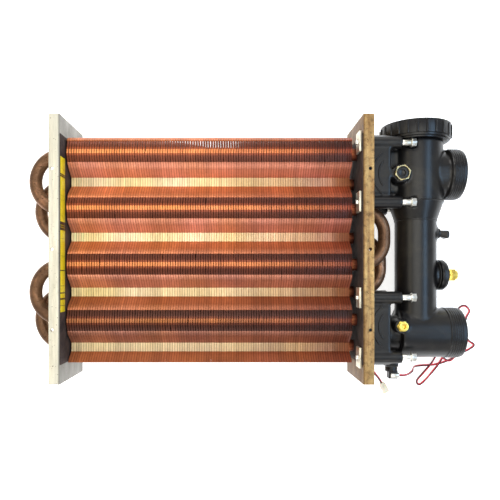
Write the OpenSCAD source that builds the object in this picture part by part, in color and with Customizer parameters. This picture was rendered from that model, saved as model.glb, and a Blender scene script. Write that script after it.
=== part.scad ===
// Copper fin-and-tube heat exchanger with a moulded return header.
// It lies on its back: +X runs along the tubes towards the header's two ports, +Y runs along the
// tube plates, and +Z points away from the surface that it rests on. Millimetres.

/* [Tube plates] */
// Length of each tube plate, along Y
plate_l = 378; // [360:1:420]
// Depth of each tube plate, from its back flange to its front flange
plate_d = 108; // [104:1:120]
// Thickness of the plate's sheet
plate_t = 3; // [1.5:0.5:3]
// Width of the turned-out flanges, with the sheet
flange_w = 15; // [12:0.5:20]
// Inner face of the left plate's web
left_face_x = -260; // [-262:0.5:-260]
// Inner face of the right plate's web
right_face_x = 164; // [164:0.5:165]
// Diameter of the flange screw holes
screw_d = 4.8; // [4:0.1:6]
// Distance of the outer screw holes from the middle one
screw_pitch = 112.75; // [100:0.25:120]

/* [Tubes] */
// Outside diameter of the copper tubes
tube_d = 18; // [16:0.5:18]
// Wall thickness of the tubes
tube_wall = 1.1; // [0.8:0.1:1.6]
// Distance between neighbouring tubes of one row
tube_pitch = 81; // [81:0.5:82]
// Height of the front row's centres
front_row_z = 66; // [64:1:68]
// Height of the back row's centres
back_row_z = 44; // [42:1:44]

/* [Fins] */
// Number of fins in the pack
fin_count = 113; // [60:1:113]
// Distance from one fin to the next, seven fins to the inch
fin_pitch = 3.6286; // [3.5:0.0001:3.6286]
// Thickness of a fin
fin_t = 0.4; // [0.3:0.05:0.5]
// Length of a fin, along Y
fin_l = 324; // [320:1:326]
// Height of a fin's lobe above its tube's centre
lobe_h = 22; // [20:1:24]

/* [Header] */
// Outside diameter of the upper body
upper_body_d = 79; // [76:1:80]
// Outside diameter of the pipe that joins the two bodies
pipe_d = 60; // [58:1:62]
// Outside diameter of the lower body
lower_body_d = 73; // [72:1:75]
// Outside diameter of the two threaded ports
port_d = 74; // [73:1:75]
// Bore of the two ports
port_bore_d = 52.6; // [51:0.2:54]
// Bore of the pipe between the two bodies
pipe_bore_d = 50; // [48:0.5:50]
// Outside diameter of the blanking nut
nut_d = 104; // [100:1:104]

/* [Sensor lead] */
// Width of the two-core lead
lead_d = 3.2; // [2.4:0.1:3.4]

/* [Hidden] */
$fn = 64;
tube_r = tube_d / 2;
tube_hole_r = tube_r + 0.12;
front_y = [for (i = [0 : 3]) 1.75 * tube_pitch - i * tube_pitch];
back_y = [for (i = [0 : 3]) 1.25 * tube_pitch - i * tube_pitch];
tube_centres = concat(
    [for (y = front_y) [y, front_row_z]],
    [for (y = back_y) [y, back_row_z]]
);
row_mid_z = (front_row_z + back_row_z) / 2;

// Outer faces of the two webs, and the ends of the straight tubes.
left_web_x = left_face_x - plate_t;
right_web_x = right_face_x + plate_t;
left_end_x = left_web_x - 3;
right_end_x = right_web_x + 2;
bend_r = tube_pitch / 2;
left_bend_x = -318 + bend_r + tube_r;
right_bend_x = right_end_x + 0.5;
right_turn_r = 35;

// Fin outline: a flat lobe over each tube, a slope, and a flat valley over the other row's tube.
fin_x0 = left_face_x + 3.4;
lobe_half = 15;
slope_half = 34;
valley_z = front_row_z;
lobe_z = front_row_z + lobe_h;

// End boards and what is on them.
board_t = 1.2;
board_gap_z = 1;
label_t = 0.4;
label_y0 = -88;
label_l = 218;
label_z0 = 89;
label_w = 18;

// Header places. The pipe's axis runs along Y.
header_x = 254.5;
header_z = 54;
upper_port_y = 114.3;
lower_port_y = -121.5;
port_end_x = 318;
lower_body_x = 226;
gasket_t = 2;
header_face_x = right_web_x + gasket_t;
chamber_end_x = 206;
chamber_mid_y = 119;
chamber_l = 92;
chamber_z0 = 13;
chamber_z1 = 97;
boss_r = 9;
boss_end_x = 222.5;
bolt_y = [68, 153];
bolt_z = [17, 91];
bolt_r = 3;
bolt_hole_r = 3.4;
upper_body_top_y = 160;
spigot_r = 36;
spigot_top_y = 175;
spigot_bore_r = 31;
seat_y = 36;
wing_y = 26.7;
bonnet_y = -35.5;
insert_xy = [221.5, 108.5];
fitting_xy = [223, -109];
fitting_h = 37;
nut_plate_t = 3;
sensor_x = 218.5;
sensor_y = -184.5;
ferrule_r = 3.7;
wall = 4;

// Lead: out of the ferrule, down to the surface, round the lower port in two loops, then back
// under the lower chamber to its connector.
lead_exit = [228, sensor_y, header_z + 6];
lead_route = [
    lead_exit,
    [240, -184.5, 57],
    [254, -182, 41],
    [265, -179, 18],
    [280, -179, 5],
    [303, -178, 1.6],
    [326, -171, 1.6],
    [346, -160, 1.6],
    [361, -152, 1.6],
    [366, -146, 1.6],
    [357, -139, 1.6],
    [350, -123, 1.6],
    [354, -103, 1.6],
    [359, -92, 1.6],
    [351, -84, 1.6],
    [340, -91, 1.6],
    [327, -118, 1.6],
    [313, -150, 1.6],
    [303, -167, 3.4],
    [295, -178, 5],
    [284, -192, 3],
    [275, -204, 1.6],
    [279, -210, 1.6],
    [289, -202, 1.6],
    [301, -187, 3.4],
    [308, -177, 5],
    [318, -162, 3],
    [327, -148, 1.6],
    [337, -149, 1.6],
    [338, -160, 2.4],
    [327, -171, 4.9],
    [316, -167, 4.9],
    [303, -151, 5.2],
    [285, -141, 1.6],
    [255, -140, 1.6],
    [222, -143, 1.6],
    [201, -156, 1.6],
    [196, -174, 1.6],
    [206, -190, 1.6],
    [214, -200, 1.8],
    [218, -207, 3.2]
];
lead_steps = 2;
lead_sides = 8;

// ---- Helpers ----

// A cylinder along +X from x0 to x1, about (y, z).
module x_cyl(x0, x1, y, z, r) {
    translate([x0, y, z]) rotate([0, 90, 0]) cylinder(h = x1 - x0, r = r);
}

// A cylinder along +Y from y0 to y1, about (x, z).
module y_cyl(y0, y1, x, z, r) {
    translate([x, y0, z]) rotate([-90, 0, 0]) cylinder(h = y1 - y0, r = r);
}

// A cone along +Y from y0 to y1, about (x, z).
module y_cone(y0, y1, x, z, r0, r1) {
    translate([x, y0, z]) rotate([-90, 0, 0]) cylinder(h = y1 - y0, r1 = r0, r2 = r1);
}

// Extrudes an outline drawn in Y and Z along +X, from x0 to x1.
module along_x(x0, x1) {
    translate([x0, 0, 0]) rotate([90, 0, 90]) linear_extrude(x1 - x0) children();
}

// A rectangle with round corners, about (y, z).
module round_rect(y, z, l, h, r) {
    translate([y - l / 2 + r, z - h / 2]) square([l - 2 * r, h]);
    translate([y - l / 2, z - h / 2 + r]) square([l, h - 2 * r]);
    for (sy = [-1, 1], sz = [-1, 1])
        translate([y + sy * (l / 2 - r), z + sz * (h / 2 - r)]) circle(r);
}

module tube_holes_2d() {
    for (c = tube_centres) translate(c) circle(tube_hole_r);
}

// ---- Tube plates ----

// A channel: the web and two flanges turned away from the fins. side is -1 at the left.
module tube_plate(face_x, side) {
    x0 = side > 0 ? face_x : face_x - plate_t;
    f0 = side > 0 ? face_x : face_x - flange_w;
    hole_x = side > 0 ? face_x + 9.7 : face_x - 10.5;
    difference() {
        union() {
            translate([x0, -plate_l / 2, 0]) cube([plate_t, plate_l, plate_d]);
            for (z = [0, plate_d - plate_t])
                translate([f0, -plate_l / 2, z]) cube([flange_w, plate_l, plate_t]);
        }
        along_x(x0 - 1, x0 + plate_t + 1) tube_holes_2d();
        for (y = [-screw_pitch, 0, screw_pitch])
            translate([hole_x, y, -1]) cylinder(h = plate_d + 2, d = screw_d);
        if (side > 0)
            for (sy = [-1, 1], y = bolt_y, z = bolt_z)
                x_cyl(x0 - 1, x0 + plate_t + 1, sy * y, z, bolt_hole_r);
    }
}

module left_tube_plate() {
    color([0.86, 0.82, 0.70]) tube_plate(left_face_x, -1);
}

module right_tube_plate() {
    color([0.72, 0.58, 0.30]) tube_plate(right_face_x, 1);
}

// ---- Fins ----

// The front edge's points at one front-row tube, from high Y to low Y.
function lobe_points(y) = [
    [y + slope_half, valley_z],
    [y + lobe_half, lobe_z],
    [y - lobe_half, lobe_z],
    [y - slope_half, valley_z]
];

// The front edge, with the slope beyond the last lobe, cut later at the fin's ends.
front_edge = concat(
    [for (y = front_y) each lobe_points(y)],
    [lobe_points(front_y[3] - tube_pitch)[0], lobe_points(front_y[3] - tube_pitch)[1]]
);

// The back edge is the front edge turned half a turn about the pack's middle.
function turned(p) = [-p[0], 2 * row_mid_z - p[1]];
back_edge = [for (p = front_edge) turned(p)];

module fin_outline() {
    intersection() {
        polygon(concat(front_edge, back_edge));
        translate([-fin_l / 2, 0]) square([fin_l, plate_d]);
    }
}

module fin_plate(x) {
    along_x(x, x + fin_t) difference() {
        fin_outline();
        tube_holes_2d();
    }
}

module fin_pack() {
    color([0.80, 0.45, 0.33])
        for (i = [0 : fin_count - 1]) fin_plate(fin_x0 + i * fin_pitch);
}

// ---- Tubes and bends ----

module straight_tube(c) {
    color([0.72, 0.42, 0.30]) difference() {
        x_cyl(left_end_x, right_end_x, c[0], c[1], tube_r);
        x_cyl(left_end_x - 1, right_end_x + 1, c[0], c[1], tube_r - tube_wall);
    }
}

module tube_ring_2d() {
    difference() {
        circle(tube_r);
        circle(tube_r - tube_wall);
    }
}

// Part of a turn of tube about the origin, from the +X side.
module tube_turn(r, angle) {
    rotate_extrude(angle = angle, $fn = 96) translate([r, 0]) tube_ring_2d();
}

// Straight tube along +X, from (x, y).
module tube_leg(x, y, l) {
    translate([x, y, 0]) rotate([0, 90, 0]) linear_extrude(l) tube_ring_2d();
}

// Half a turn of tube at the left, with short straight ends.
module left_bend(y_pair, z) {
    color([0.45, 0.33, 0.25]) translate([left_bend_x, (y_pair[0] + y_pair[1]) / 2, z]) {
        rotate([0, 0, 90]) tube_turn(bend_r, 180);
        for (sy = [-1, 1]) tube_leg(0, sy * bend_r, left_end_x - left_bend_x);
    }
}

// Two quarter turns with straight tube between them, which clears the header's pipe.
module right_bend(y_pair, z) {
    flat = bend_r - right_turn_r;
    color([0.45, 0.33, 0.25]) translate([right_bend_x, (y_pair[0] + y_pair[1]) / 2, z]) {
        translate([0, flat, 0]) tube_turn(right_turn_r, 90);
        translate([0, -flat, 0]) rotate([0, 0, -90]) tube_turn(right_turn_r, 90);
        translate([right_turn_r, -flat, 0]) rotate([-90, 0, 0]) linear_extrude(2 * flat) tube_ring_2d();
        for (sy = [-1, 1]) tube_leg(right_end_x - right_bend_x, sy * bend_r, right_bend_x - right_end_x);
    }
}

module braze_ring(x0, x1, c) {
    difference() {
        x_cyl(x0, x1, c[0], c[1], tube_r + 1.6);
        x_cyl(x0 - 1, x1 + 1, c[0], c[1], tube_r + 0.05);
    }
}

module braze_rings() {
    color([0.75, 0.58, 0.30]) {
        for (c = tube_centres) braze_ring(left_web_x - 2.4, left_web_x, c);
        for (i = [1, 2, 5, 6]) braze_ring(right_web_x, right_web_x + 2, tube_centres[i]);
    }
}

// ---- End boards and label ----

module end_board(x0) {
    along_x(x0, x0 + board_t) difference() {
        translate([-fin_l / 2, board_gap_z]) square([fin_l, plate_d - 2 * board_gap_z]);
        tube_holes_2d();
        if (x0 > 0)
            for (sy = [-1, 1], y = bolt_y, z = bolt_z) translate([sy * y, z]) circle(bolt_hole_r);
    }
}

module left_end_board() {
    color([0.16, 0.13, 0.13]) end_board(left_face_x);
}

module right_end_board() {
    color([0.16, 0.14, 0.12]) end_board(right_face_x - board_t);
}

module label_strip() {
    color([0.95, 0.85, 0.15])
        along_x(left_face_x + board_t, left_face_x + board_t + label_t)
            translate([label_y0, label_z0]) square([label_l, label_w]);
}

// ---- Header ----

// Where the four bolts of one chamber stand. side is 1 for the upper chamber, -1 for the lower.
module at_bolts(side) {
    for (y = bolt_y, z = bolt_z) translate([side * y, z]) children();
}

module chamber_2d(side, inset) {
    round_rect(side * chamber_mid_y, (chamber_z0 + chamber_z1) / 2,
        chamber_l - 2 * inset, chamber_z1 - chamber_z0 - 2 * inset, 12 - inset);
}

module chamber_outside(side) {
    along_x(header_face_x, chamber_end_x) chamber_2d(side, 0);
    along_x(header_face_x, header_face_x + 8) at_bolts(side) circle(boss_r + 1);
    along_x(header_face_x, boss_end_x) at_bolts(side) circle(boss_r);
}

module header_outside() {
    for (side = [-1, 1]) chamber_outside(side);
    // Necks between the chambers and the bodies.
    along_x(chamber_end_x - 1, header_x) round_rect(chamber_mid_y - 3, header_z, 76, 44, 12);
    x_cyl(chamber_end_x - 1, header_x, lower_port_y, header_z, 26);
    x_cyl(lower_body_x, 297, lower_port_y, header_z, lower_body_d / 2);
    // Upper body, its threaded spigot, the shoulder and the pipe.
    y_cyl(72, upper_body_top_y, header_x, header_z, upper_body_d / 2);
    y_cyl(upper_body_top_y - 1, spigot_top_y, header_x, header_z, spigot_r);
    y_cone(44, 72, header_x, header_z, pipe_d / 2, upper_body_d / 2);
    y_cyl(lower_port_y, 45, header_x, header_z, pipe_d / 2);
    // Ports.
    x_cyl(header_x, 297, upper_port_y, header_z, port_d / 2 - 4);
    x_cyl(297, port_end_x, upper_port_y, header_z, port_d / 2);
    x_cyl(296, port_end_x, lower_port_y, header_z, port_d / 2);
    // Side seats for the wing cock and the bonnet.
    x_cyl(header_x + 10, header_x + pipe_d / 2 + 1.5, wing_y, header_z, 12.5);
    x_cyl(header_x + 10, 294, bonnet_y, header_z, 17.5);
    // Bosses in the recess beside each chamber.
    translate([insert_xy[0], insert_xy[1], header_z]) cylinder(h = 43, r = 13);
    translate([fitting_xy[0], fitting_xy[1], header_z]) cylinder(h = fitting_h, r = 10);
    // Lower chamber's foot for the sensor.
    translate([sensor_x - 11, -172, header_z - 12]) cube([19, 22, 24]);
}

module header_inside() {
    for (side = [-1, 1])
        along_x(header_face_x - 1, chamber_end_x - wall) chamber_2d(side, wall);
    along_x(chamber_end_x - wall - 1, header_x)
        round_rect(chamber_mid_y - 3, header_z, 68, 36, 8);
    x_cyl(chamber_end_x - wall - 1, header_x, lower_port_y, header_z, 22);
    x_cyl(lower_body_x + wall, port_end_x + 1, lower_port_y, header_z, port_bore_d / 2);
    x_cyl(header_x - 6, port_end_x + 1, upper_port_y, header_z, port_bore_d / 2);
    // The pipe's bore stops at the bypass seat, a ring with a smaller hole.
    y_cyl(lower_port_y, seat_y, header_x, header_z, pipe_bore_d / 2);
    y_cyl(seat_y - 1, seat_y + 5, header_x, header_z, 16);
    y_cyl(seat_y + 4, upper_body_top_y, header_x, header_z, pipe_bore_d / 2);
    y_cyl(upper_body_top_y - 14, spigot_top_y + 1, header_x, header_z, spigot_bore_r);
    // Bolt holes, room for a spanner round the bolt heads, and the bores of the side seats.
    for (side = [-1, 1]) {
        along_x(header_face_x - 1, boss_end_x + 1) at_bolts(side) circle(bolt_hole_r);
        along_x(boss_end_x, boss_end_x + 22) at_bolts(side) circle(8);
    }
    x_cyl(header_x + 8, header_x + 40, wing_y, header_z, 5.4);
    x_cyl(header_x + 8, 295, bonnet_y, header_z, 9);
    translate([insert_xy[0], insert_xy[1], header_z + 37]) cylinder(h = 10, r = 9);
    translate([fitting_xy[0], fitting_xy[1], header_z + 12]) cylinder(h = 30, r = 4.5);
    y_cyl(-173, -164, sensor_x, header_z, 5);
}

module header_body() {
    color([0.09, 0.09, 0.10]) difference() {
        header_outside();
        header_inside();
    }
}

module gasket(side) {
    color([0.12, 0.12, 0.12]) along_x(right_web_x, header_face_x) difference() {
        union() {
            chamber_2d(side, 0);
            at_bolts(side) circle(boss_r);
        }
        chamber_2d(side, 8);
        at_bolts(side) circle(bolt_hole_r);
        for (c = tube_centres) translate(c) circle(tube_r + 2.4);
    }
}

module upper_gasket() {
    gasket(1);
}

module lower_gasket() {
    gasket(-1);
}

// ---- Header fixings ----

module at_all_bolts() {
    for (side = [-1, 1], y = bolt_y, z = bolt_z) translate([0, side * y, z]) children();
}

module header_bolts() {
    color([0.78, 0.78, 0.76]) at_all_bolts() {
        x_cyl(157, 237, 0, 0, bolt_r);
        x_cyl(235.6, 237, 0, 0, 6.8);
        translate([237, 0, 0]) rotate([0, 90, 0]) cylinder(h = 5.5, r = 6.2, $fn = 6);
    }
}

module bolt_sleeves() {
    color([0.85, 0.85, 0.84]) at_all_bolts() difference() {
        x_cyl(boss_end_x, 235.6, 0, 0, 4.4);
        x_cyl(boss_end_x - 1, 236.6, 0, 0, bolt_r + 0.1);
    }
}

module nut_plates() {
    x0 = right_face_x - board_t - nut_plate_t;
    color([0.86, 0.85, 0.80]) at_all_bolts() difference() {
        translate([x0, -14.5, -10.5]) cube([nut_plate_t, 29, 21]);
        x_cyl(x0 - 1, x0 + 5, 0, 0, bolt_r + 0.1);
    }
}

// ---- Blanking plug and nut ----

module blanking_plug() {
    color([0.10, 0.10, 0.11]) difference() {
        union() {
            y_cyl(163, spigot_top_y + 0.3, header_x, header_z, 30.2);
            y_cyl(spigot_top_y + 0.3, spigot_top_y + 4.3, header_x, header_z, 35);
            y_cyl(spigot_top_y + 4, 184.2, header_x, header_z, 27.5);
        }
        y_cyl(160, 170, header_x, header_z, 25);
        translate([header_x, 167, header_z]) rotate([-90, 0, 0]) groove(4, 28.4, 32);
    }
}

// A ring to cut or to add, from r0 to r1, h tall.
module groove(h, r0, r1) {
    difference() {
        cylinder(h = h, r = r1);
        translate([0, 0, -1]) cylinder(h = h + 2, r = r0);
    }
}

module plug_o_ring() {
    color([0.05, 0.05, 0.05]) translate([header_x, 169, header_z])
        rotate([-90, 0, 0]) rotate_extrude($fn = 96) translate([29.5, 0]) circle(1.05, $fn = 24);
}

module blanking_nut() {
    y0 = upper_body_top_y + 0.5;
    y1 = 184.7;
    rib_r = 1.6;
    color([0.08, 0.08, 0.09]) difference() {
        union() {
            // The skirt steps in, clear of the upper chamber and its bolt bosses.
            y_cyl(y0, y0 + 3, header_x, header_z, nut_d / 2 - 8);
            y_cyl(y0 + 2, y0 + 6, header_x, header_z, nut_d / 2 - 4);
            y_cyl(y0 + 5, y1, header_x, header_z, nut_d / 2 - rib_r);
            for (i = [0 : 23])
                translate([header_x, y0 + 5.2, header_z]) rotate([-90, i * 15, 0])
                    translate([nut_d / 2 - rib_r, 0, 0]) cylinder(h = y1 - y0 - 8, r = rib_r);
        }
        y_cyl(y0 - 1, spigot_top_y + 4.7, header_x, header_z, spigot_r + 0.4);
        y_cyl(y0, y1 + 1, header_x, header_z, 28.2);
    }
}

// ---- Side fittings ----

module wing_cock() {
    x0 = header_x + pipe_d / 2 + 1.8;
    color([0.13, 0.13, 0.14]) {
        x_cyl(x0 - 8, x0 + 0.5, wing_y, header_z, 5);
        x_cyl(x0, x0 + 3.5, wing_y, header_z, 7.5);
        hull() {
            x_cyl(x0 + 3, x0 + 5, wing_y, header_z, 4.5, $fn = 24);
            for (dy = [-2.5, 2.5], dz = [-6, 6])
                translate([x0 + 13.5, wing_y + dy - 2, header_z + dz]) sphere(3.4, $fn = 16);
        }
    }
}

module bonnet_cap() {
    color([0.08, 0.08, 0.09]) difference() {
        union() {
            x_cyl(287.6, 295, bonnet_y, header_z, 22.5);
            x_cyl(295, 298, bonnet_y, header_z, 20);
        }
        x_cyl(286, 294.3, bonnet_y, header_z, 17.8);
        x_cyl(286, 299, bonnet_y, header_z, 6.1);
    }
}

module bonnet_o_ring() {
    color([0.05, 0.05, 0.05]) translate([286.3, bonnet_y, header_z])
        rotate([0, 90, 0]) rotate_extrude($fn = 64) translate([18.9, 0]) circle(1.2, $fn = 24);
}

module brass_plug() {
    color([0.83, 0.70, 0.25]) {
        x_cyl(288, 304, bonnet_y, header_z, 6);
        translate([303.5, bonnet_y, header_z]) rotate([0, 90, 0]) cylinder(h = 9, r = 9.8, $fn = 6);
        x_cyl(312, 316, bonnet_y, header_z, 6.5);
    }
}

module port_insert() {
    color([0.72, 0.68, 0.50]) translate([insert_xy[0], insert_xy[1], header_z + 43]) difference() {
        rotate([0, 0, 15]) cylinder(h = 4, r = 11.6, $fn = 6);
        translate([0, 0, -1]) cylinder(h = 6, r = 9.1);
    }
}

module insert_plug() {
    color([0.10, 0.10, 0.10]) translate([insert_xy[0], insert_xy[1], header_z + 37]) difference() {
        cylinder(h = 8, r = 8.9);
        translate([0, 0, 5]) cylinder(h = 4, r = 5, $fn = 6);
    }
}

module brass_fitting() {
    color([0.86, 0.74, 0.30]) translate([fitting_xy[0], fitting_xy[1], header_z + fitting_h - 6])
        difference() {
            union() {
                cylinder(h = 6, r = 4.4);
                translate([0, 0, 6]) cylinder(h = 4, r = 8, $fn = 6);
                translate([0, 0, 10]) cylinder(h = 5, r = 6.6);
            }
            translate([0, 0, 8]) cylinder(h = 8, r = 3.2);
        }
}

// ---- Sensor and its lead ----

module sensor_housing() {
    color([0.10, 0.10, 0.10]) difference() {
        union() {
            y_cyl(-172, -164.5, sensor_x, header_z, 4.9);
            y_cyl(-179, -172, sensor_x, header_z, 9);
            translate([sensor_x - 5, sensor_y - 5, header_z - 6]) cube([13, 11, 12]);
        }
        x_cyl(sensor_x - 3, sensor_x + 10, sensor_y, lead_exit[2], ferrule_r + 0.1);
    }
}

module sensor_ferrule() {
    color([0.80, 0.80, 0.78]) difference() {
        x_cyl(sensor_x - 2.8, lead_exit[0], sensor_y, lead_exit[2], ferrule_r);
        x_cyl(lead_exit[0] - 3, lead_exit[0] + 1, sensor_y, lead_exit[2], 1.7);
    }
}

// A smooth curve through four points, from the second to the third.
function curve_at(a, b, c, d, t) =
    0.5 * (2 * b + (c - a) * t + (2 * a - 5 * b + 4 * c - d) * t * t
    + (3 * b - a - 3 * c + d) * t * t * t);

function clamped(list, i) = list[max(0, min(len(list) - 1, i))];

function smooth(list, steps) = concat(
    [for (i = [0 : len(list) - 2], k = [0 : steps - 1])
        curve_at(clamped(list, i - 1), list[i], list[i + 1], clamped(list, i + 2), k / steps)],
    [list[len(list) - 1]]
);

// The same path, no lower than a lead that lies on the surface.
function lifted(path, low) = [for (p = path) [p[0], p[1], max(p[2], low)]];

function unit(v) = v / norm(v);

function heading(path, i) = unit(clamped(path, i + 1) - clamped(path, i - 1));

// A ring of points about the path, square to its heading.
function ring(path, i, r, sides) =
    let (t = heading(path, i), side = unit(cross([0, 0, 1], t)), up = cross(t, side))
    [for (k = [0 : sides - 1])
        path[i] + r * cos(360 * k / sides) * side + r * sin(360 * k / sides) * up];

module swept_tube(path, r, sides) {
    n = len(path);
    points = [for (i = [0 : n - 1]) each ring(path, i, r, sides)];
    walls = [for (i = [0 : n - 2], k = [0 : sides - 1])
        [i * sides + k, i * sides + (k + 1) % sides,
            (i + 1) * sides + (k + 1) % sides, (i + 1) * sides + k]];
    near_end = [for (k = [sides - 1 : -1 : 0]) k];
    far_end = [for (k = [0 : sides - 1]) (n - 1) * sides + k];
    polyhedron(points, concat(walls, [near_end, far_end]), convexity = 10);
}

module sensor_lead() {
    color([0.70, 0.10, 0.15])
        swept_tube(lifted(smooth(lead_route, lead_steps), lead_d / 2), lead_d / 2, lead_sides);
}

module lead_connector() {
    tip = lead_route[len(lead_route) - 1];
    color([0.92, 0.91, 0.86]) translate([tip[0], tip[1], 0]) rotate([0, 0, -63]) {
        translate([0, -3.4, 0.4]) cube([3, 6.8, 5.4]);
        translate([3, -4.8, 0]) cube([14, 9.6, 6.4]);
        translate([6, -1.8, 6.4]) cube([8, 3.6, 1]);
    }
}

// ---- Bypass valve inside the pipe ----

module bypass_poppet() {
    color([0.75, 0.72, 0.62]) {
        y_cyl(seat_y - 4, seat_y - 0.4, header_x, header_z, 21);
        y_cyl(seat_y - 34, seat_y - 3, header_x, header_z, 3.5);
    }
}

module bypass_spring() {
    color([0.70, 0.70, 0.70]) difference() {
        y_cyl(seat_y - 26, seat_y - 4.4, header_x, header_z, 9);
        y_cyl(seat_y - 27, seat_y - 3, header_x, header_z, 7);
    }
}

module bypass_retainer() {
    color([0.60, 0.58, 0.50]) difference() {
        y_cyl(seat_y - 30, seat_y - 26, header_x, header_z, pipe_bore_d / 2 - 0.1);
        y_cyl(seat_y - 31, seat_y - 25, header_x, header_z, 4);
        for (a = [0 : 60 : 300])
            translate([header_x, seat_y - 31, header_z]) rotate([-90, a, 0])
                translate([15, 0, 0]) cylinder(h = 6, r = 5.5);
    }
}

// ---- Nodes ----

left_tube_plate();
right_tube_plate();
fin_pack();
straight_tube(tube_centres[0]);  // tube_front_1
straight_tube(tube_centres[1]);  // tube_front_2
straight_tube(tube_centres[2]);  // tube_front_3
straight_tube(tube_centres[3]);  // tube_front_4
straight_tube(tube_centres[4]);  // tube_back_1
straight_tube(tube_centres[5]);  // tube_back_2
straight_tube(tube_centres[6]);  // tube_back_3
straight_tube(tube_centres[7]);  // tube_back_4
left_bend([front_y[0], front_y[1]], front_row_z);  // left_bend_front_upper
left_bend([front_y[2], front_y[3]], front_row_z);  // left_bend_front_lower
left_bend([back_y[0], back_y[1]], back_row_z);  // left_bend_back_upper
left_bend([back_y[2], back_y[3]], back_row_z);  // left_bend_back_lower
right_bend([front_y[1], front_y[2]], front_row_z);  // right_bend_front
right_bend([back_y[1], back_y[2]], back_row_z);  // right_bend_back
braze_rings();
left_end_board();
right_end_board();
label_strip();
header_body();
upper_gasket();
lower_gasket();
header_bolts();
bolt_sleeves();
nut_plates();
blanking_plug();
plug_o_ring();
blanking_nut();
wing_cock();
bonnet_cap();
bonnet_o_ring();
brass_plug();
port_insert();
insert_plug();
brass_fitting();
sensor_housing();
sensor_ferrule();
sensor_lead();
lead_connector();
bypass_poppet();
bypass_spring();
bypass_retainer();
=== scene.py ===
"""Copper fin-and-tube water heat exchanger, lying on its back on a pale floor.

Sizes are in metres in the row frame: +X runs along the tubes towards the ports, +Y along the tube
plates, and +Z away from the floor. Each sub-assembly is a class that builds its pieces and dresses them.
"""

import logging
import math
import random
from dataclasses import dataclass, field
from enum import Enum
from typing import Optional, Sequence

import bmesh
import bpy
from mathutils import Matrix, Vector, noise


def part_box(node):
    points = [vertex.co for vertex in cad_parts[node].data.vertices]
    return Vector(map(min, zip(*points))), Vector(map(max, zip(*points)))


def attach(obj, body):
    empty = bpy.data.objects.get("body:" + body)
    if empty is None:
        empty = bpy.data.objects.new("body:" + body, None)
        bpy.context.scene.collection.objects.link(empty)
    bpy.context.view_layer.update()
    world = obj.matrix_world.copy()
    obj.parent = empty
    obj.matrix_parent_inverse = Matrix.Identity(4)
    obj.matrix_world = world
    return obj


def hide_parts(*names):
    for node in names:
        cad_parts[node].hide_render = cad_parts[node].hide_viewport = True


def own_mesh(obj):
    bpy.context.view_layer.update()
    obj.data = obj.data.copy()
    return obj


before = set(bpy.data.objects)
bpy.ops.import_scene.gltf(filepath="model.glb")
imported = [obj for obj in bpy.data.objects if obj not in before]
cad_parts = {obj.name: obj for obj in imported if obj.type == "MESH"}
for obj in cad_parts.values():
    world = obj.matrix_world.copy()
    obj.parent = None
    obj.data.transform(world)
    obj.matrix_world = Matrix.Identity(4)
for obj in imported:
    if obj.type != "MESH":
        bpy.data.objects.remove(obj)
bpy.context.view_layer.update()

LOG = logging.getLogger("heat_exchanger")
MM = 0.001
ROOT = "exchanger"

Colour = tuple[float, float, float, float]
Stops = Sequence[tuple[float, Colour]]


def srgb(red: float, green: float, blue: float) -> Colour:
    """Turns display values from 0 to 1 into a linear colour.

    Args:
        red: The red value.
        green: The green value.
        blue: The blue value.

    Returns:
        The linear colour, with an alpha of 1.
    """
    def linear(value: float) -> float:
        """One display value made linear."""
        return value / 12.92 if value <= 0.04045 else ((value + 0.055) / 1.055) ** 2.4

    return linear(red), linear(green), linear(blue), 1.0


# ---- Shader building ----


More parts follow.
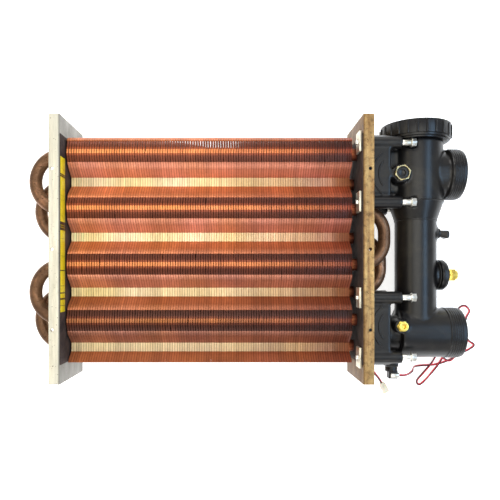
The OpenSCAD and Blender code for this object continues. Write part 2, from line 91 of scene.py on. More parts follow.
class Sketch:
    """One procedural material, built node by node around a Principled shader."""

    def __init__(self, name: str) -> None:
        """Starts an empty material.

        Args:
            name: The material's name.
        """
        self.material = bpy.data.materials.new(name)
        self.material.use_nodes = True
        self.tree = self.material.node_tree
        self.shader = next(n for n in self.tree.nodes if n.type == "BSDF_PRINCIPLED")
        self.place = self.tree.nodes.new("ShaderNodeTexCoord").outputs["Object"]

    def wire(self, source: object, target: bpy.types.NodeSocket) -> None:
        """Links a socket, or sets a plain value."""
        if isinstance(source, bpy.types.NodeSocket):
            self.tree.links.new(source, target)
        else:
            target.default_value = source

    def fixed(self, **values: object) -> "Sketch":
        """Sets the shader's own sockets; an underscore stands for a space in a socket's name."""
        for name, value in values.items():
            self.shader.inputs[name.replace("_", " ")].default_value = value
        return self

    def feed(self, name: str, source: bpy.types.NodeSocket) -> "Sketch":
        """Links a pattern to one of the shader's sockets."""
        self.tree.links.new(source, self.shader.inputs[name])
        return self

    def stretched(self, scale: tuple[float, float, float]) -> bpy.types.NodeSocket:
        """Object coordinates, scaled along each axis."""
        node = self.tree.nodes.new("ShaderNodeMapping")
        self.wire(self.place, node.inputs["Vector"])
        node.inputs["Scale"].default_value = scale
        return node.outputs["Vector"]

    def noise(
        self,
        scale: float,
        detail: float = 4.0,
        rough: float = 0.55,
        twist: float = 0.0,
        vector: Optional[bpy.types.NodeSocket] = None,
    ) -> bpy.types.NodeSocket:
        """A noise pattern.

        Args:
            scale: Features per metre.
            detail: Octaves.
            rough: How strong the finer octaves are.
            twist: Distortion.
            vector: Where it is read, or None for Object coordinates.

        Returns:
            The factor's socket.
        """
        node = self.tree.nodes.new("ShaderNodeTexNoise")
        self.wire(vector or self.place, node.inputs["Vector"])
        node.inputs["Scale"].default_value = scale
        node.inputs["Detail"].default_value = detail
        node.inputs["Roughness"].default_value = rough
        node.inputs["Distortion"].default_value = twist
        return node.outputs["Fac"]

    def axis(self, which: str) -> bpy.types.NodeSocket:
        """One of the Object coordinates."""
        node = self.tree.nodes.new("ShaderNodeSeparateXYZ")
        self.wire(self.place, node.inputs["Vector"])
        return node.outputs[which]

    def attribute(self, name: str) -> bpy.types.NodeSocket:
        """A colour attribute of the piece's own mesh."""
        node = self.tree.nodes.new("ShaderNodeAttribute")
        node.attribute_name = name
        return node.outputs["Color"]

    def sum_up(self, kind: str, first: object, second: object) -> bpy.types.NodeSocket:
        """A maths node's value, held between 0 and 1."""
        node = self.tree.nodes.new("ShaderNodeMath")
        node.operation = kind
        node.use_clamp = True
        self.wire(first, node.inputs[0])
        self.wire(second, node.inputs[1])
        return node.outputs[0]

    def span(self, value: bpy.types.NodeSocket, low: float, high: float) -> bpy.types.NodeSocket:
        """Maps low to 0 and high to 1, and holds the rest."""
        node = self.tree.nodes.new("ShaderNodeMapRange")
        self.wire(value, node.inputs["Value"])
        node.inputs["From Min"].default_value = low
        node.inputs["From Max"].default_value = high
        return node.outputs["Result"]

    def ramp(self, factor: bpy.types.NodeSocket, stops: Stops) -> bpy.types.NodeSocket:
        """A colour ramp with the given stops."""
        node = self.tree.nodes.new("ShaderNodeValToRGB")
        elements = node.color_ramp.elements
        elements[0].position, elements[0].color = stops[0]
        elements[1].position, elements[1].color = stops[-1]
        for position, colour in stops[1:-1]:
            elements.new(position).color = colour
        self.wire(factor, node.inputs["Fac"])
        return node.outputs["Color"]

    def blend(self, factor: object, first: object, second: object, kind: str = "MIX") -> bpy.types.NodeSocket:
        """Mixes two colours.

        Args:
            factor: How much of the second shows.
            first: The first colour or socket.
            second: The second colour or socket.
            kind: The blend mode.

        Returns:
            The mixed colour's socket.
        """
        node = self.tree.nodes.new("ShaderNodeMix")
        node.data_type = "RGBA"
        node.blend_type = kind
        self.wire(factor, node.inputs[0])
        self.wire(first, node.inputs[6])
        self.wire(second, node.inputs[7])
        return node.outputs[2]

    def levels(self, factor: bpy.types.NodeSocket, low: float, high: float) -> bpy.types.NodeSocket:
        """A pattern from 0 to 1 stretched to run from low to high."""
        node = self.tree.nodes.new("ShaderNodeMapRange")
        self.wire(factor, node.inputs["Value"])
        node.inputs["To Min"].default_value = low
        node.inputs["To Max"].default_value = high
        return node.outputs["Result"]

    def bump(self, height: bpy.types.NodeSocket, distance: float, strength: float = 0.5) -> "Sketch":
        """Adds fine relief to the shader's normal."""
        node = self.tree.nodes.new("ShaderNodeBump")
        node.inputs["Distance"].default_value = distance
        node.inputs["Strength"].default_value = strength
        self.wire(height, node.inputs["Height"])
        return self.feed("Normal", node.outputs["Normal"])


# ---- Finishes ----


@dataclass(frozen=True)
class StainedSheet:
    """Plated sheet steel with broad stains and small specks, and painted shade on the face towards the fins.

    Attributes:
        name: The finish's name.
        clean: The plating's own colour.
        stain: The broad stains' colour.
        speck: The small specks' colour.
        amount: How much of the sheet is stained, from 0 to 1.
        inner_shade: The painted shade's colour, multiplied over the face towards the fins.
        outer_x: Where along X the painted shade fades out.
        inner_x: Where along X the painted shade is full.
        shine: The metal share of the shader.
    """

    name: str
    clean: Colour
    stain: Colour
    speck: Colour
    amount: float
    inner_shade: Colour
    outer_x: float
    inner_x: float
    shine: float = 0.6

    def make(self) -> bpy.types.Material:
        """Builds the material."""
        sketch = Sketch(self.name)
        broad = sketch.span(sketch.noise(28.0, 6.0, 0.7, 0.4), 0.72 - self.amount * 0.5, 0.78)
        streak = sketch.noise(60.0, 5.0, 0.6, 0.0, sketch.stretched((3.0, 0.25, 1.0)))
        base = sketch.blend(sketch.span(streak, 0.35, 0.75), self.clean, self.stain)
        base = sketch.blend(broad, base, self.stain)
        blotch = sketch.span(sketch.noise(130.0, 5.0, 0.7, 0.3), 0.72 - 0.26 * self.amount, 0.74)
        base = sketch.blend(sketch.sum_up("MULTIPLY", blotch, self.amount * 0.85), base, self.speck)
        specks = sketch.span(sketch.noise(420.0, 3.0, 0.6), 0.66, 0.72)
        base = sketch.blend(specks, base, self.speck)
        # Painted shade: the face towards the fins is multiplied darker, fading in along X from outer_x to
        # inner_x.
        grime = sketch.span(sketch.axis("X"), self.outer_x, self.inner_x)
        base = sketch.blend(grime, base, self.inner_shade, "MULTIPLY")
        grain = sketch.noise(900.0, 2.0)
        sketch.feed("Base Color", base)
        sketch.feed("Roughness", sketch.levels(streak, 0.32, 0.62))
        sketch.fixed(Metallic=self.shine)
        return sketch.bump(grain, 0.0002, 0.25).material


@dataclass(frozen=True)
class TintedCopper:
    """Bright copper sheet that takes its tint, with painted light and shade in it, from the mesh, with a fine
    sparkle.

    Attributes:
        name: The finish's name.
        shine: The metal share of the shader.
        rough: The mean roughness.
    """

    name: str
    shine: float
    rough: float

    def make(self) -> bpy.types.Material:
        """Builds the material."""
        sketch = Sketch(self.name)
        streak = sketch.noise(240.0, 4.0, 0.6, 0.3, sketch.stretched((1.0, 0.3, 0.6)))
        dull = sketch.span(sketch.noise(16.0, 5.0, 0.65), 0.45, 0.75)
        tint = sketch.attribute("tint")
        darker = sketch.blend(1.0, tint, (0.80, 0.74, 0.70, 1.0), "MULTIPLY")
        base = sketch.blend(sketch.span(streak, 0.35, 0.8), tint, darker)
        sketch.feed("Base Color", sketch.blend(dull, base, darker))
        sketch.feed("Roughness", sketch.levels(streak, self.rough - 0.08, self.rough + 0.12))
        sketch.fixed(Metallic=self.shine)
        return sketch.bump(streak, 0.0003, 0.3).material


@dataclass(frozen=True)
class AgedCopper:
    """Copper tube with heat bloom: clean metal, brown oxide and darker blotches.

    Attributes:
        name: The finish's name.
        clean: The least aged metal.
        oxide: The oxide's main colour.
        dark: The darkest blotches.
        age: How much oxide covers it, from 0 to 1.
        dark_from: The place along X from which the metal turns to the dark colour.
    """

    name: str
    clean: Colour
    oxide: Colour
    dark: Colour
    age: float
    dark_from: float = 1.0

    def make(self) -> bpy.types.Material:
        """Builds the material."""
        sketch = Sketch(self.name)
        cloud = sketch.noise(34.0, 6.0, 0.65, 0.6)
        fine = sketch.noise(260.0, 4.0, 0.6)
        stops = ((0.25, self.clean), (0.62 - 0.3 * self.age, self.oxide), (0.85, self.dark))
        base = sketch.ramp(cloud, stops)
        base = sketch.blend(sketch.span(fine, 0.55, 0.75), base, self.dark)
        # Darker from dark_from along X, where the tubes leave the fins for the gap by the right plate.
        darkening = sketch.span(sketch.axis("X"), self.dark_from, self.dark_from + 0.012)
        sketch.feed("Base Color", sketch.blend(darkening, base, self.dark))
        sketch.feed("Roughness", sketch.levels(cloud, 0.28, 0.58))
        sketch.fixed(Metallic=0.75)
        return sketch.bump(fine, 0.0003, 0.25).material


@dataclass(frozen=True)
class MouldedPolymer:
    """Semi-gloss black polymer with a fine moulded grain and a little dust.

    Attributes:
        name: The finish's name.
        colour: The polymer's colour.
        dust: The dust's colour.
        rough: The mean roughness.
    """

    name: str
    colour: Colour
    dust: Colour
    rough: float

    def make(self) -> bpy.types.Material:
        """Builds the material."""
        sketch = Sketch(self.name)
        cloud = sketch.span(sketch.noise(22.0, 5.0, 0.7, 0.8), 0.45, 0.85)
        grain = sketch.noise(1400.0, 2.0, 0.5)
        swirl = sketch.noise(90.0, 4.0, 0.6, 1.5)
        sketch.feed("Base Color", sketch.blend(cloud, self.colour, self.dust))
        sketch.feed("Roughness", sketch.levels(swirl, self.rough - 0.08, self.rough + 0.14))
        sketch.fixed(Metallic=0.0, Specular_IOR_Level=0.4)
        return sketch.bump(grain, 0.0002, 0.18).material


@dataclass(frozen=True)
class PlatedMetal:
    """Turned or pressed metal with fine tool marks and a tarnish.

    Attributes:
        name: The finish's name.
        colour: The metal's colour.
        tarnish: The tarnish's colour.
        rough: The mean roughness.
        marks: How the tool marks are stretched along each axis.
    """

    name: str
    colour: Colour
    tarnish: Colour
    rough: float
    marks: tuple[float, float, float] = (6.0, 1.0, 1.0)

    def make(self) -> bpy.types.Material:
        """Builds the material."""
        sketch = Sketch(self.name)
        marks = sketch.noise(320.0, 3.0, 0.5, 0.0, sketch.stretched(self.marks))
        cloud = sketch.span(sketch.noise(70.0, 5.0, 0.65), 0.5, 0.8)
        sketch.feed("Base Color", sketch.blend(cloud, self.colour, self.tarnish))
        sketch.feed("Roughness", sketch.levels(marks, self.rough - 0.08, self.rough + 0.16))
        sketch.fixed(Metallic=0.9)
        return sketch.bump(marks, 0.0002, 0.2).material


@dataclass(frozen=True)
class SootBoard:
    """Fibre board, black with soot, paler where the soot has rubbed off."""

    name: str
    soot: Colour
    rubbed: Colour

    def make(self) -> bpy.types.Material:
        """Builds the material."""
        sketch = Sketch(self.name)
        cloud = sketch.noise(24.0, 6.0, 0.7, 0.5)
        fibre = sketch.noise(700.0, 3.0, 0.6, 0.0, sketch.stretched((1.0, 0.2, 1.0)))
        sketch.feed("Base Color", sketch.ramp(cloud, ((0.4, self.soot), (0.75, self.rubbed))))
        sketch.feed("Roughness", sketch.levels(fibre, 0.7, 0.95))
        return sketch.bump(fibre, 0.0004, 0.5).material


@dataclass(frozen=True)
class BlankLabel:
    """A yellow strip with plain dark blocks and grime, and nothing to read."""

    name: str
    paper: Colour
    block: Colour
    grime: Colour

    def make(self) -> bpy.types.Material:
        """Builds the material."""
        sketch = Sketch(self.name)
        bands = sketch.noise(150.0, 1.0, 0.5, 0.0, sketch.stretched((0.6, 1.0, 0.0)))
        blocks = sketch.span(bands, 0.58, 0.60)
        grime = sketch.span(sketch.noise(60.0, 5.0, 0.7), 0.5, 0.8)
        base = sketch.blend(blocks, self.paper, self.block)
        sketch.feed("Base Color", sketch.blend(grime, base, self.grime))
        sketch.feed("Roughness", sketch.levels(grime, 0.35, 0.7))
        return sketch.bump(grime, 0.0001, 0.2).material


@dataclass(frozen=True)
class CoreInsulation:
    """The two-core lead's insulation, whose colour is written on the mesh."""

    name: str

    def make(self) -> bpy.types.Material:
        """Builds the material."""
        sketch = Sketch(self.name)
        dust = sketch.span(sketch.noise(300.0, 3.0), 0.5, 0.9)
        tint = sketch.attribute("tint")
        pale = sketch.blend(0.35, tint, srgb(0.80, 0.70, 0.70))
        sketch.feed("Base Color", sketch.blend(dust, tint, pale))
        sketch.feed("Roughness", sketch.levels(dust, 0.32, 0.5))
        return sketch.bump(dust, 0.0001, 0.15).material


@dataclass(frozen=True)
class Nylon:
    """Milky translucent nylon."""

    name: str
    colour: Colour
    cloudy: Colour

    def make(self) -> bpy.types.Material:
        """Builds the material."""
        sketch = Sketch(self.name)
        cloud = sketch.noise(240.0, 4.0, 0.6, 0.6)
        sketch.feed("Base Color", sketch.blend(cloud, self.colour, self.cloudy))
        sketch.feed("Roughness", sketch.levels(cloud, 0.25, 0.42))
        sketch.fixed(Subsurface_Weight=0.25, Subsurface_Scale=0.004)
        return sketch.bump(cloud, 0.0001, 0.15).material


class Finish(Enum):
    """Every finish of the exchanger."""

    # Each sheet's last colour and two X places set the painted shade on its face towards the fins.
    GALVANISED = StainedSheet(
        "galvanised sheet", srgb(0.93, 0.92, 0.86), srgb(0.77, 0.76, 0.70), srgb(0.50, 0.46, 0.38), 0.34,
        srgb(0.66, 0.66, 0.68), -0.2625, -0.2606,
    )
    YELLOW_ZINC = StainedSheet(
        "yellow zinc sheet", srgb(0.87, 0.75, 0.51), srgb(0.53, 0.38, 0.22), srgb(0.19, 0.12, 0.08), 0.93,
        srgb(0.70, 0.64, 0.56), 0.1665, 0.1646,
    )
    FIN_TABS = TintedCopper("turned fin edges", 0.42, 0.36)
    TUBE = AgedCopper(
        "fin tube copper", srgb(0.93, 0.62, 0.40), srgb(0.80, 0.44, 0.27), srgb(0.36, 0.17, 0.11), 0.2, 0.149
    )
    BEND = AgedCopper(
        "return bend copper", srgb(0.74, 0.54, 0.42), srgb(0.48, 0.36, 0.27), srgb(0.24, 0.16, 0.12), 0.5
    )
    BRAZE = PlatedMetal("braze", srgb(0.82, 0.68, 0.40), srgb(0.50, 0.36, 0.22), 0.42, (1.0, 1.0, 1.0))
    BOARD = SootBoard("soot board", srgb(0.14, 0.10, 0.10), srgb(0.34, 0.27, 0.24))
    LABEL = BlankLabel("blank label", srgb(0.95, 0.86, 0.14), srgb(0.18, 0.15, 0.10), srgb(0.62, 0.54, 0.20))
    POLYMER = MouldedPolymer("black polymer", srgb(0.05, 0.05, 0.06), srgb(0.16, 0.15, 0.13), 0.30)
    NUT_POLYMER = MouldedPolymer("nut polymer", srgb(0.05, 0.05, 0.06), srgb(0.13, 0.13, 0.13), 0.28)
    SEAL = MouldedPolymer("seal rubber", srgb(0.08, 0.08, 0.08), srgb(0.20, 0.19, 0.18), 0.6)
    ZINC = PlatedMetal("bright zinc", srgb(0.92, 0.92, 0.90), srgb(0.66, 0.64, 0.56), 0.30)
    PALE_ZINC = PlatedMetal("pale zinc plate", srgb(0.95, 0.94, 0.88), srgb(0.80, 0.76, 0.60), 0.38)
    BRASS = PlatedMetal("turned brass", srgb(0.95, 0.84, 0.42), srgb(0.70, 0.56, 0.24), 0.26)
    NICKEL = PlatedMetal("nickel insert", srgb(0.78, 0.73, 0.56), srgb(0.58, 0.50, 0.34), 0.28)
    LEAD = CoreInsulation("lead insulation")
    NYLON = Nylon("milky nylon", srgb(0.95, 0.94, 0.88), srgb(0.86, 0.82, 0.72))

    @property
    def material(self) -> bpy.types.Material:
        """The finish's material, made once."""
        found = bpy.data.materials.get(self.value.name)
        return found or self.value.make()


# ---- Mesh helpers ----


def new_piece(
    name: str, bm: bmesh.types.BMesh, finish: Finish, smooth_below: float = 35.0
) -> bpy.types.Object:
    """Makes an object from a bmesh, which it frees.

    Args:
        name: The piece's name.
        bm: The finished mesh, in the row frame.
        finish: What it is covered with.
        smooth_below: Edges under this angle, in degrees, shade smooth.

    Returns:
        The new object, linked to the scene.
    """
    mesh = bpy.data.meshes.new(name)
    for face in bm.faces:
        face.smooth = True
    limit = math.radians(smooth_below)
    for edge in bm.edges:
        edge.smooth = len(edge.link_faces) == 2 and edge.calc_face_angle(math.pi) < limit
    bm.to_mesh(mesh)
    bm.free()
    mesh.materials.append(finish.material)
    piece = bpy.data.objects.new(name, mesh)
    bpy.context.scene.collection.objects.link(piece)
    return piece


def finish_piece(piece: bpy.types.Object, body: str, slot: str, *nodes: str) -> bpy.types.Object:
    """Rides and reports one piece, and hides the CAD nodes that it stands for.

    Args:
        piece: The finished piece.
        body: The body that it moves with.
        slot: Not used.
        *nodes: The CAD nodes that it replaces.

    Returns:
        The same piece.
    """
    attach(piece, body)
    if nodes:
        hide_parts(*nodes)
    LOG.info("%s: %d faces on %s", piece.name, len(piece.data.polygons), body)
    return piece


def merged_copy(node: str, flat: float = 0.8) -> bmesh.types.BMesh:
    """A CAD node's mesh with its loose triangles merged and its flat faces made whole.

    Args:
        node: The node's name.
        flat: Faces that meet at less than this angle, in degrees, become one.

    Returns:
        The new bmesh.
    """
    bm = bmesh.new()
    bm.from_mesh(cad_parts[node].data)
    bmesh.ops.remove_doubles(bm, verts=bm.verts, dist=0.5e-6)
    bmesh.ops.dissolve_limit(
        bm, angle_limit=math.radians(flat), use_dissolve_boundaries=False, verts=bm.verts, edges=bm.edges
    )
    return bm


def soften(bm: bmesh.types.BMesh, width: float, sharp: float = 40.0, segments: int = 2) -> None:
    """Rounds every sharp edge.

    Args:
        bm: The mesh.
        width: The rounding's width.
        sharp: Edges above this angle, in degrees, are rounded.
        segments: How many faces run across the rounding.
    """
    limit = math.radians(sharp)
    edges = [e for e in bm.edges if len(e.link_faces) == 2 and e.calc_face_angle(0.0) > limit]
    bmesh.ops.bevel(
        bm,
        geom=edges,
        offset=width,
        offset_type="OFFSET",
        affect="EDGES",
        segments=segments,
        profile=0.5,
        clamp_overlap=True,
        material=-1,
    )


def softened_node(
    node: str, name: str, finish: Finish, body: str, slot: str, width: float, segments: int = 2
) -> bpy.types.Object:
    """A CAD node copied, its sharp edges rounded, and put in the node's place.

    Args:
        node: The node's name.
        name: The new piece's name.
        finish: What it is covered with.
        body: The body that it moves with.
        slot: Its material slot.
        width: The rounding's width.
        segments: How many faces run across the rounding.

    Returns:
        The new piece.
    """
    bm = merged_copy(node)
    soften(bm, width, segments=segments)
    bmesh.ops.triangulate(bm, faces=[f for f in bm.faces if len(f.verts) > 4])
    return finish_piece(new_piece(name, bm, finish), body, slot, node)


# ---- Lead ----


@dataclass
class SensorLead:
    """The red and black two-core lead, from the ferrule to its connector."""

    route: tuple[tuple[float, float, float], ...] = (
        (0.228, -0.1845, 0.060), (0.240, -0.1845, 0.057), (0.254, -0.182, 0.041), (0.265, -0.179, 0.018),
        (0.280, -0.179, 0.005), (0.303, -0.178, 0.0016), (0.326, -0.171, 0.0016), (0.346, -0.160, 0.0016),
        (0.361, -0.152, 0.0016), (0.366, -0.146, 0.0016), (0.357, -0.139, 0.0016), (0.350, -0.123, 0.0016),
        (0.354, -0.103, 0.0016), (0.359, -0.092, 0.0016), (0.351, -0.084, 0.0016),
        (0.340, -0.091, 0.0016), (0.327, -0.118, 0.0016),
        (0.313, -0.150, 0.0016), (0.303, -0.167, 0.0034), (0.295, -0.178, 0.005), (0.284, -0.192, 0.003),
        (0.275, -0.204, 0.0016), (0.279, -0.210, 0.0016), (0.289, -0.202, 0.0016), (0.301, -0.187, 0.0034),
        (0.308, -0.177, 0.005), (0.318, -0.162, 0.003), (0.327, -0.148, 0.0016), (0.337, -0.149, 0.0016),
        (0.338, -0.160, 0.0024), (0.327, -0.171, 0.0049), (0.316, -0.167, 0.0049), (0.303, -0.151, 0.0052),
        (0.285, -0.141, 0.0016), (0.255, -0.140, 0.0016), (0.222, -0.143, 0.0016), (0.201, -0.156, 0.0016),
        (0.196, -0.174, 0.0016), (0.206, -0.190, 0.0016), (0.214, -0.200, 0.0018), (0.218, -0.207, 0.0032),
    )
    width: float = 3.2 * MM
    length: float = 0.722
    core: float = 1.0 * MM
    steps: int = 8
    sides: int = 8
    turns_per_metre: float = 22.0

    def path(self) -> list[Vector]:
        """The route's smooth line, no lower than a lead that lies on the floor."""
        points = [Vector(p) for p in self.route]
        line = []
        for i in range(len(points) - 1):
            a, b = points[max(i - 1, 0)], points[i]
            c, d = points[i + 1], points[min(i + 2, len(points) - 1)]
            for k in range(self.steps):
                t = k / self.steps
                line.append(
                    0.5 * (2 * b + (c - a) * t + (2 * a - 5 * b + 4 * c - d) * t * t
                           + (3 * b - a - 3 * c + d) * t * t * t)
                )
        line.append(points[-1])
        return [Vector((p.x, p.y, max(p.z, self.width / 2))) for p in line]

    def build(self) -> bpy.types.Object:
        """Sweeps both cores along the path, one colour each."""
        path = self.path()
        bm = bmesh.new()
        tint = bm.loops.layers.float_color.new("tint")
        colours = (srgb(0.82, 0.12, 0.20), srgb(0.26, 0.06, 0.09))
        for core, colour in enumerate(colours):
            self.sweep_core(bm, path, core * math.pi, tint, colour)
        bmesh.ops.recalc_face_normals(bm, faces=bm.faces)
        piece = finish_piece(new_piece("sensor_lead_cores", bm, Finish.LEAD, 70.0), ROOT, "lead_insulation",
                             "sensor_lead")
        connector = LeadConnector().build()
        return piece

    def sweep_core(
        self, bm: bmesh.types.BMesh, path: list[Vector], phase: float, tint: object, colour: Colour
    ) -> None:
        """Adds one core, wound slowly round the path.

        Args:
            bm: The mesh that it joins.
            path: The lead's line.
            phase: Which side of the line the core starts on, in radians.
            tint: The colour layer.
            colour: The core's colour.
        """
        radius, offset = self.core, self.width / 2 - self.core
        travelled = 0.0
        earlier = set(bm.faces)
        last: list[bmesh.types.BMEdge] = []
        for i, point in enumerate(path):
            heading = (path[min(i + 1, len(path) - 1)] - path[max(i - 1, 0)]).normalized()
            travelled += (point - path[max(i - 1, 0)]).length
            side = heading.orthogonal() if abs(heading.z) > 0.99 else Vector((0, 0, 1)).cross(heading)
            side.normalize()
            rise = heading.cross(side)
            turn = phase + 0.45 * math.sin(travelled * self.turns_per_metre * math.tau)
            centre = point + offset * 1.25 * (math.cos(turn) * side + math.sin(turn) * rise)
            centre.z = max(centre.z, radius)
            place = Matrix((side, rise, heading)).transposed().to_4x4()
            ring = bmesh.ops.create_circle(
                bm, cap_ends=i in (0, len(path) - 1), segments=self.sides, radius=radius,
                matrix=Matrix.Translation(centre) @ place,
            )["verts"]
            rim = [e for e in {e for v in ring for e in v.link_edges} if set(e.verts) <= set(ring)]
            if last:
                bmesh.ops.bridge_loops(bm, edges=last + rim)
            last = rim
        for face in set(bm.faces) - earlier:
            for loop in face.loops:
                loop[tint] = colour


@dataclass
class LeadConnector:
    """The small milky connector on the lead's end."""

    edge: float = 0.5 * MM

    def build(self) -> bpy.types.Object:
        """Rounds the connector's body."""
        return softened_node("lead_connector", "lead_plug", Finish.NYLON, ROOT, "clear_connector", self.edge)


# ---- Fins ----


class Facet(Enum):
    """The parts of a fin's edge."""

    PLATE = "plate"
    LOBE = "lobe"
    DOWN = "down"
    VALLEY = "valley"
    UP = "up"
    END = "end"


@dataclass(frozen=True)
class FacetTint:
    """The painted light and shade of one kind of facet along the pack: each facing of the same copper gets
    its own lit or shaded colour.

    Attributes:
        clean: The facet's colour at the left end, where it is painted most lit.
        right_end_shade: The colour at the right end, next to the header, darker with painted shade.
        low_row_shade: The share of its brightness that the lowest row loses to painted shade.
    """

    clean: Colour
    right_end_shade: Colour
    low_row_shade: float

    def at(self, along: float, row: int, jitter: float) -> Colour:
        """The tint at one place on the pack.

        Args:
            along: The share of the length, from the left end.
            row: The row of tubes, 0 to 3 from high Y to low Y.
            jitter: How much brighter this place is than the rest: the fin's random jitter times the painted
                highlight and shade from tint_fin.

        Returns:
            The colour, linear.
        """
        # Painted shade: the lower rows lose brightness, and the colour darkens towards the right end.
        gain = jitter * (1 - self.low_row_shade * (row / 3) ** 2)
        stain = along ** 2
        red, green, blue = (gain * (a + (b - a) * stain) for a, b in zip(self.clean[:3], self.right_end_shade[:3]))
        return red, green, blue, 1.0


@dataclass
class FinPack:
    """The stack of copper fins, with open lobes over the front tubes and turned-over edges between."""

    count: int = 113
    pitch: float = 3.6286 * MM
    start: float = -256.6 * MM
    half_length: float = 162 * MM
    tube_pitch: float = 81 * MM
    tube_hole: float = 9.12 * MM
    front_z: float = 66 * MM
    back_z: float = 44 * MM
    lobe_rise: float = 22 * MM
    lobe_half: float = 15 * MM
    slope_half: float = 34 * MM
    tab_reach: float = 3.45 * MM
    lobe_reach: float = 2.8 * MM
    crest: float = 3.0 * MM
    fold_shade: float = 0.45
    # Painted shade: the share of green and blue kept on the dark lobe sides, which turns them darker and
    # redder.
    darkening: float = 0.64
    sheet: float = 0.3 * MM
    seed: int = 7
    painted_facet_light: dict[Facet, FacetTint] = field(default_factory=dict)

    def __post_init__(self) -> None:
        """Sets each facet's painted light and shade."""
        # Each facing of the same copper takes its own lit or shaded colour: painted light and shade.
        self.painted_facet_light = {
            Facet.PLATE: FacetTint(srgb(0.72, 0.42, 0.28), srgb(0.56, 0.26, 0.17), 0.25),
            Facet.LOBE: FacetTint(srgb(0.85, 0.52, 0.30), srgb(0.50, 0.22, 0.12), 0.55),
            Facet.DOWN: FacetTint(srgb(0.86, 0.55, 0.42), srgb(0.66, 0.38, 0.30), 0.50),
            Facet.VALLEY: FacetTint(srgb(0.97, 0.88, 0.68), srgb(0.65, 0.38, 0.25), 0.20),
            Facet.UP: FacetTint(srgb(0.90, 0.54, 0.34), srgb(0.65, 0.32, 0.20), 0.40),
        }
        self.painted_facet_light[Facet.END] = self.painted_facet_light[Facet.UP]

    def front_rows(self) -> list[float]:
        """The front tubes' places along Y, from high to low."""
        return [self.tube_pitch * (1.75 - i) for i in range(4)]

    def back_rows(self) -> list[float]:
        """The back tubes' places along Y, from high to low."""
        return [self.tube_pitch * (1.25 - i) for i in range(4)]

    def edge_points(self) -> list[tuple[float, float]]:
        """The front edge's corners in Y and Z, from high Y to low Y."""
        lobe_z = self.front_z + self.lobe_rise
        cut = self.slope_z(self.half_length - self.front_rows()[0])
        points = [(self.half_length, cut)]
        for y in self.front_rows():
            points += [(y + self.lobe_half, lobe_z), (y - self.lobe_half, lobe_z)]
            points.append((y - self.slope_half, self.front_z))
            points.append((y - self.tube_pitch + self.slope_half, self.front_z))
        past_last = self.tube_pitch - self.half_length - self.front_rows()[3]
        points.append((-self.half_length, self.slope_z(past_last)))
        return points

    def slope_z(self, from_tube: float) -> float:
        """The slope's height at a distance in Y from a front tube."""
        share = (abs(from_tube) - self.lobe_half) / (self.slope_half - self.lobe_half)
        return self.front_z + self.lobe_rise * (1 - min(max(share, 0.0), 1.0))

    def facet_of(self, y: float, top: bool) -> Facet:
        """Which facet a point of the edge lies on, from its place along Y and its side."""
        if abs(y) > self.half_length - 0.1 * MM:
            return Facet.END
        y = y if top else -y
        rows = self.front_rows() + [self.front_rows()[3] - self.tube_pitch]
        nearest = min(rows, key=lambda row: abs(row - y))
        away = abs(nearest - y)
        if away < self.lobe_half:
            return Facet.LOBE
        if away > self.slope_half:
            return Facet.VALLEY
        return Facet.DOWN if y < nearest else Facet.UP

    def one_fin(self) -> bmesh.types.BMesh:
        """One fin at X = 0: a pierced plate with its turned-over edges."""
        bm = bmesh.new()
        front = self.edge_points()
        back = [(-y, self.front_z + self.back_z - z) for y, z in front]
        corners = [bm.verts.new((0, y, z)) for y, z in front + back]
        rim = [bm.edges.new((a, b)) for a, b in zip(corners, corners[1:] + corners[:1])]
        self.part_rim(bm, rim)
        outline = list(bm.edges)
        upright = Matrix.Rotation(math.pi / 2, 4, "Y")
        front_holes = [(y, self.front_z) for y in self.front_rows()]
        back_holes = [(y, self.back_z) for y in self.back_rows()]
        for y, z in front_holes + back_holes:
            bmesh.ops.create_circle(
                bm, cap_ends=False, segments=12, radius=self.tube_hole,
                matrix=Matrix.Translation((0, y, z)) @ upright,
            )
        bmesh.ops.triangle_fill(bm, use_beauty=True, use_dissolve=False, edges=bm.edges, normal=(1, 0, 0))
        self.turn_edges(bm, outline)
        bmesh.ops.recalc_face_normals(bm, faces=bm.faces)
        bmesh.ops.solidify(bm, geom=bm.faces, thickness=self.sheet)
        return bm

    def part_rim(self, bm: bmesh.types.BMesh, rim: list[bmesh.types.BMEdge]) -> None:
        """Divides the slopes and lobes, and rounds each lobe's crest."""
        for kinds, cuts in (((Facet.DOWN, Facet.UP), 3), ((Facet.LOBE,), 9)):
            edges = [e for e in rim if self.kind_of(e) in kinds]
            bmesh.ops.subdivide_edges(bm, edges=edges, cuts=cuts)
        for vert in bm.verts:
            top = self.on_front(vert.co)
            rows = self.front_rows() if top else self.back_rows()
            away = min(abs(row - vert.co.y) for row in rows) / self.lobe_half
            if away < 1.01:
                vert.co.z += math.copysign(self.crest * away ** 2, -1 if top else 1)

    def kind_of(self, edge: bmesh.types.BMEdge) -> Facet:
        """The facet that an edge of the rim lies on."""
        centre = (edge.verts[0].co + edge.verts[1].co) / 2
        return self.facet_of(centre.y, self.on_front(centre))

